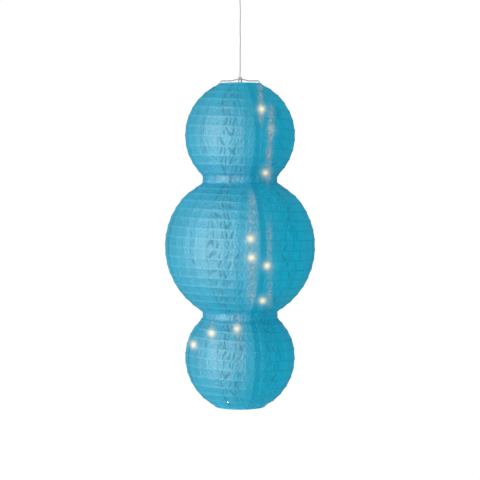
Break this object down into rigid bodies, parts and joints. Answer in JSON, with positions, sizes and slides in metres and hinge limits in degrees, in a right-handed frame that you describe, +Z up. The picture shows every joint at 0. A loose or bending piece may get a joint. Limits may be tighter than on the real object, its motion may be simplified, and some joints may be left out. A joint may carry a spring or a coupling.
{
  "type": "accordion lantern",
  "caption": "Hanging accordion lantern of three stacked cloth balls on a spiral wire rib that folds flat, with a cord, ceiling hook, inner lamp string and battery case.",
  "frame": {"origin": "centre of the ceiling hook's flange face, on the ceiling, where its screw goes in", "axes": "+Z is up, into the ceiling; the lantern hangs along -Z; its front faces -Y and +X is to the right of someone looking at the front; the hanger wire runs along X"},
  "size_m": [0.2998, 0.2998, 0.8816],
  "materials": {
    "white_coated_wire": "satin",
    "bare_steel": "satin",
    "clear_cord": "satin",
    "white_plastic": "satin",
    "rib_steel": "satin",
    "blue_cloth": "satin",
    "cell_jacket": "gloss",
    "dark_plastic": "matte",
    "lamp_glow": "satin"
  },
  "bodies": {
    "hook": {"ceiling_hook": "white_coated_wire"},
    "ring": {"hang_ring": "bare_steel"},
    "cord": {"cord_loop": "clear_cord", "hanging_cord": "clear_cord"},
    "swivel": {"swivel_ball": "white_plastic"},
    "lantern": {"clip_left": "white_plastic", "clip_right": "white_plastic", "clip_rivet": "bare_steel", "hanger_wire": "white_coated_wire", "top_ring": "white_coated_wire", "rib_spiral": "rib_steel", "gore_1": "blue_cloth", "gore_2": "blue_cloth", "gore_3": "blue_cloth", "gore_4": "blue_cloth", "gore_5": "blue_cloth", "gore_6": "blue_cloth", "gore_7": "blue_cloth", "gore_8": "blue_cloth", "battery_case": "white_plastic", "lid_pin": "bare_steel", "cell_left": "cell_jacket", "cell_right": "cell_jacket", "cell_springs": "bare_steel", "contact_plate": "bare_steel", "string_gland": "white_plastic", "lamp_string": "clear_cord"},
    "foot": {"bottom_ring": "white_coated_wire"},
    "lid": {"battery_lid": "white_plastic"},
    "switch": {"switch_knob": "dark_plastic"},
    "lamp_1": {"lamp_1": "lamp_glow"},
    "lamp_2": {"lamp_2": "lamp_glow"},
    "lamp_3": {"lamp_3": "lamp_glow"},
    "lamp_4": {"lamp_4": "lamp_glow"},
    "lamp_5": {"lamp_5": "lamp_glow"},
    "lamp_6": {"lamp_6": "lamp_glow"},
    "lamp_7": {"lamp_7": "lamp_glow"},
    "lamp_8": {"lamp_8": "lamp_glow"},
    "lamp_9": {"lamp_9": "lamp_glow"},
    "lamp_10": {"lamp_10": "lamp_glow"},
    "lamp_11": {"lamp_11": "lamp_glow"},
    "lamp_12": {"lamp_12": "lamp_glow"}
  },
  "joints": [
    {"name": "ring_swing", "type": "hinge", "parent": "hook", "child": "ring", "pos_m": [0, 0, -0.026], "axis": [1, 0, 0], "range_deg": [-50, 50]},
    {"name": "cord_swing", "type": "hinge", "parent": "ring", "child": "cord", "pos_m": [0, 0, -0.0372], "axis": [0, 1, 0], "range_deg": [-50, 50]},
    {"name": "swivel_turn", "type": "hinge", "parent": "cord", "child": "swivel", "pos_m": [0, 0, -0.2066], "axis": [0, 0, 1], "continuous": true},
    {"name": "lantern_tilt", "type": "hinge", "parent": "swivel", "child": "lantern", "pos_m": [0, 0, -0.2066], "axis": [1, 0, 0], "range_deg": [-35, 35]},
    {"name": "fold", "type": "slide", "parent": "lantern", "child": "foot", "axis": [0, 0, 1], "range_m": [0, 0.567], "deforming": ["gore_1", "gore_2", "gore_3", "gore_4", "gore_5", "gore_6", "gore_7", "gore_8", "rib_spiral", "lamp_string"]},
    {"name": "lid_swing", "type": "hinge", "parent": "lantern", "child": "lid", "pos_m": [0, 0.0108, -0.2302], "axis": [1, 0, 0], "range_deg": [0, 75]},
    {"name": "switch_slide", "type": "slide", "parent": "lantern", "child": "switch", "axis": [1, 0, 0], "range_m": [0, 0.003]},
    {"name": "lamp_1_slide", "type": "slide", "parent": "lantern", "child": "lamp_1", "axis": [0, 0, 1], "range_m": [0, 0.0479]},
    {"name": "lamp_2_slide", "type": "slide", "parent": "lantern", "child": "lamp_2", "axis": [0, 0, 1], "range_m": [0, 0.0832]},
    {"name": "lamp_3_slide", "type": "slide", "parent": "lantern", "child": "lamp_3", "axis": [0, 0, 1], "range_m": [0, 0.1574]},
    {"name": "lamp_4_slide", "type": "slide", "parent": "lantern", "child": "lamp_4", "axis": [0, 0, 1], "range_m": [0, 0.3146]},
    {"name": "lamp_5_slide", "type": "slide", "parent": "lantern", "child": "lamp_5", "axis": [0, 0, 1], "range_m": [0, 0.3764]},
    {"name": "lamp_6_slide", "type": "slide", "parent": "lantern", "child": "lamp_6", "axis": [0, 0, 1], "range_m": [0, 0.3005]},
    {"name": "lamp_7_slide", "type": "slide", "parent": "lantern", "child": "lamp_7", "axis": [0, 0, 1], "range_m": [0, 0.2687]},
    {"name": "lamp_8_slide", "type": "slide", "parent": "lantern", "child": "lamp_8", "axis": [0, 0, 1], "range_m": [0, 0.4259]},
    {"name": "lamp_9_slide", "type": "slide", "parent": "lantern", "child": "lamp_9", "axis": [0, 0, 1], "range_m": [0, 0.4347]},
    {"name": "lamp_10_slide", "type": "slide", "parent": "lantern", "child": "lamp_10", "axis": [0, 0, 1], "range_m": [0, 0.4568]},
    {"name": "lamp_11_slide", "type": "slide", "parent": "lantern", "child": "lamp_11", "axis": [0, 0, 1], "range_m": [0, 0.4877]},
    {"name": "lamp_12_slide", "type": "slide", "parent": "lantern", "child": "lamp_12", "axis": [0, 0, 1], "range_m": [0, 0.5195]}
  ],
  "couplings": [
    {"joint": "lamp_1_slide", "follows": "fold", "ratio": 0.08098},
    {"joint": "lamp_2_slide", "follows": "fold", "ratio": 0.14328},
    {"joint": "lamp_3_slide", "follows": "fold", "ratio": 0.2741},
    {"joint": "lamp_4_slide", "follows": "fold", "ratio": 0.55131},
    {"joint": "lamp_5_slide", "follows": "fold", "ratio": 0.66033},
    {"joint": "lamp_6_slide", "follows": "fold", "ratio": 0.5264},
    {"joint": "lamp_7_slide", "follows": "fold", "ratio": 0.47033},
    {"joint": "lamp_8_slide", "follows": "fold", "ratio": 0.74754},
    {"joint": "lamp_9_slide", "follows": "fold", "ratio": 0.76312},
    {"joint": "lamp_10_slide", "follows": "fold", "ratio": 0.80205},
    {"joint": "lamp_11_slide", "follows": "fold", "ratio": 0.85656},
    {"joint": "lamp_12_slide", "follows": "fold", "ratio": 0.91263}
  ]
}
